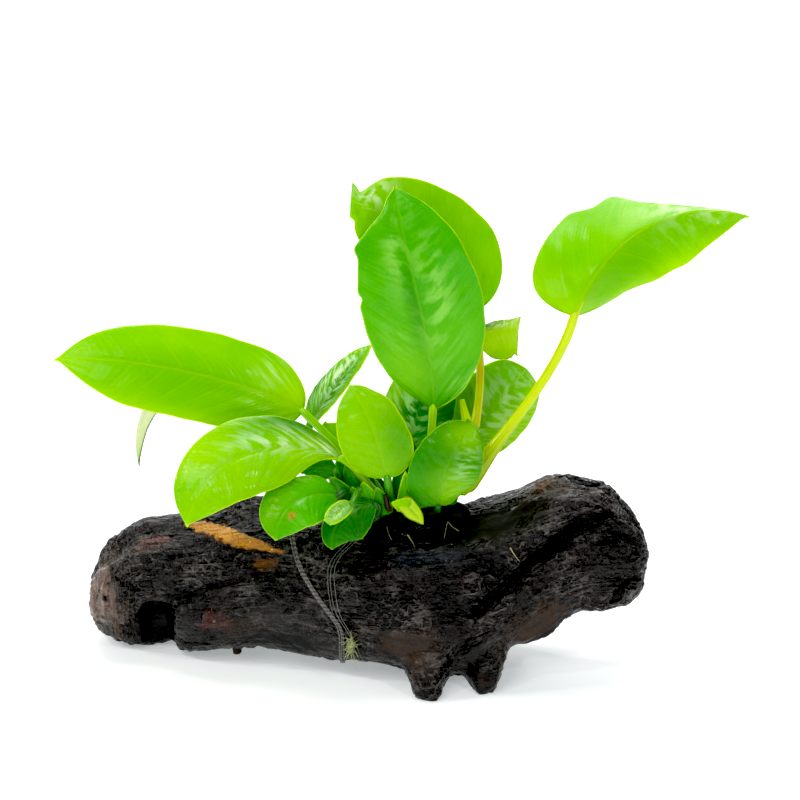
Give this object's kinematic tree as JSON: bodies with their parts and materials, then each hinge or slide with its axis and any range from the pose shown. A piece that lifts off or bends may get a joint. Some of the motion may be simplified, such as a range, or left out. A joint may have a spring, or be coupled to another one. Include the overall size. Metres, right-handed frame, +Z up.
{
  "type": "anubias on driftwood",
  "caption": "Dwarf water plant with broad pointed leaves on a creeping rhizome, tied with thread to a dark gnarled driftwood log that stands on its own feet.",
  "frame": {"origin": "middle of the bounding box in X and Y, on the surface that the driftwood stands on", "axes": "+X along the log, towards its raised right end; +Y away from the viewer; +Z up"},
  "size_m": [0.1836, 0.0628, 0.1347],
  "materials": {
    "driftwood": "wet, rough bark",
    "rhizome": "matt, ringed",
    "leaf": "waxy gloss, lets light through",
    "stem": "smooth, satin",
    "stub": "dry, matt",
    "thread": "wet, twisted",
    "knot": "frayed, matt"
  },
  "bodies": {
    "root": {"driftwood": "driftwood", "rhizome": "rhizome", "leaf_far_left": "leaf", "leaf_lower_left": "leaf", "leaf_front_spotted": "leaf", "leaf_front_dark": "leaf", "leaf_small_round": "leaf", "leaf_small_rolled": "leaf", "leaf_narrow_back": "leaf", "leaf_centre_left": "leaf", "leaf_tall_front": "leaf", "leaf_tall_back": "leaf", "leaf_right_cut": "leaf", "leaf_right_middle": "leaf", "leaf_centre_right": "leaf", "leaf_centre_dark": "leaf", "leaf_peeking_left": "leaf", "leaf_new_shoot": "leaf", "leaf_far_right": "leaf", "leaf_back_drooping": "leaf", "stem_far_left": "stem", "stem_lower_left": "stem", "stem_front_spotted": "stem", "stem_front_dark": "stem", "stem_small_round": "stem", "stem_small_rolled": "stem", "stem_narrow_back": "stem", "stem_centre_left": "stem", "stem_tall_front": "stem", "stem_tall_back": "stem", "stem_right_cut": "stem", "stem_right_middle": "stem", "stem_centre_right": "stem", "stem_centre_dark": "stem", "stem_peeking_left": "stem", "stem_new_shoot": "stem", "stem_far_right": "stem", "stem_back_drooping": "stem", "rolled_shoot": "stem", "old_stub": "stub", "thread_band": "thread", "thread_line": "thread", "thread_knot": "knot"}
  },
  "joints": []
}
